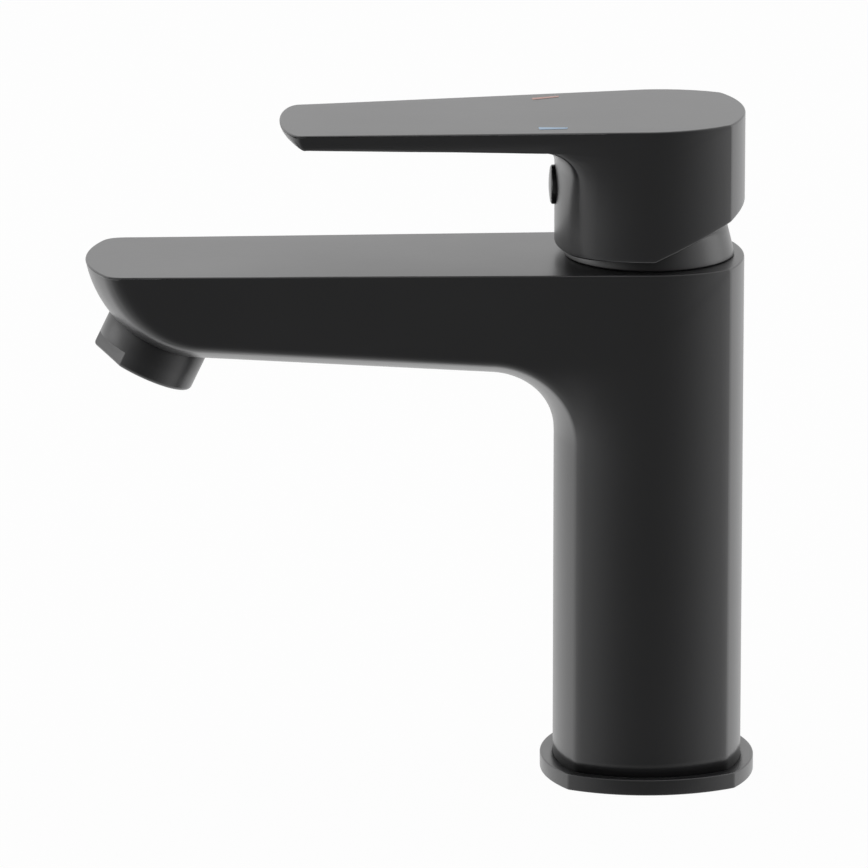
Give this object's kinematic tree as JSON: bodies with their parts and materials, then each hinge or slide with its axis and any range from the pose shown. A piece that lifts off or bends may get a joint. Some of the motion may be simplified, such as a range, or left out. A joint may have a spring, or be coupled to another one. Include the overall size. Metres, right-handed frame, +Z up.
{
  "type": "bathroom mixer faucet",
  "caption": "Single-lever deck-mounted basin mixer in matte black, with a flat slab spout, a paddle lever over a cover dome, a tilted aerator and a square base flange.",
  "frame": {"origin": "centre of the base flange's underside, on the column's axis, at deck level", "axes": "+Z up, the spout points towards -X, the hot side is +Y"},
  "size_m": [0.1698, 0.0546, 0.1723],
  "materials": {
    "black_paint": "satin matte black paint over brass",
    "black_rubber": "moulded black rubber",
    "red_rubber": "moulded red silicone rubber",
    "white_plastic": "moulded white acetal",
    "ivory_plastic": "moulded ivory acetal",
    "red_plastic": "moulded red acetal",
    "grey_plastic": "moulded grey plastic",
    "black_plastic": "moulded matte black plastic",
    "ceramic": "lapped alumina ceramic",
    "brass": "turned brass",
    "steel": "stainless steel"
  },
  "bodies": {
    "body": {"body": "black_paint", "base_flange": "black_paint", "base_seal": "black_rubber", "port_seals": "black_rubber", "cartridge_base": "white_plastic", "disc_seals": "red_rubber", "fixed_disc": "ceramic", "cartridge_housing": "white_plastic", "housing_seal": "black_rubber", "cartridge_nut": "brass", "temperature_limit_ring": "red_plastic", "dome_gasket": "black_rubber", "cover_dome": "black_paint", "aerator_housing": "black_paint", "aerator_insert": "grey_plastic", "aerator_screen": "steel", "aerator_gasket": "black_rubber"},
    "rotor": {"rotor": "ivory_plastic", "spindle_pin": "steel"},
    "lever": {"handle": "black_paint", "handle_grub_screw": "steel", "index_plug": "black_plastic", "spindle": "brass"},
    "valve_disc": {"moving_disc": "ceramic", "disc_carrier": "ivory_plastic"}
  },
  "joints": [
    {"name": "lever_turn", "type": "hinge", "parent": "body", "child": "rotor", "pos_m": [0, 0, 0.128], "axis": [0, 0, 1], "range_deg": [-45, 45]},
    {"name": "lever_lift", "type": "hinge", "parent": "rotor", "child": "lever", "pos_m": [0, 0, 0.128], "axis": [0, 1, 0], "range_deg": [0, 25]},
    {"name": "disc_slide", "type": "slide", "parent": "rotor", "child": "valve_disc", "axis": [-1, 0, 0], "range_m": [0, 0.00415]}
  ],
  "couplings": [
    {"joint": "disc_slide", "follows": "lever_lift", "m_per_rad": 0.0095}
  ]
}
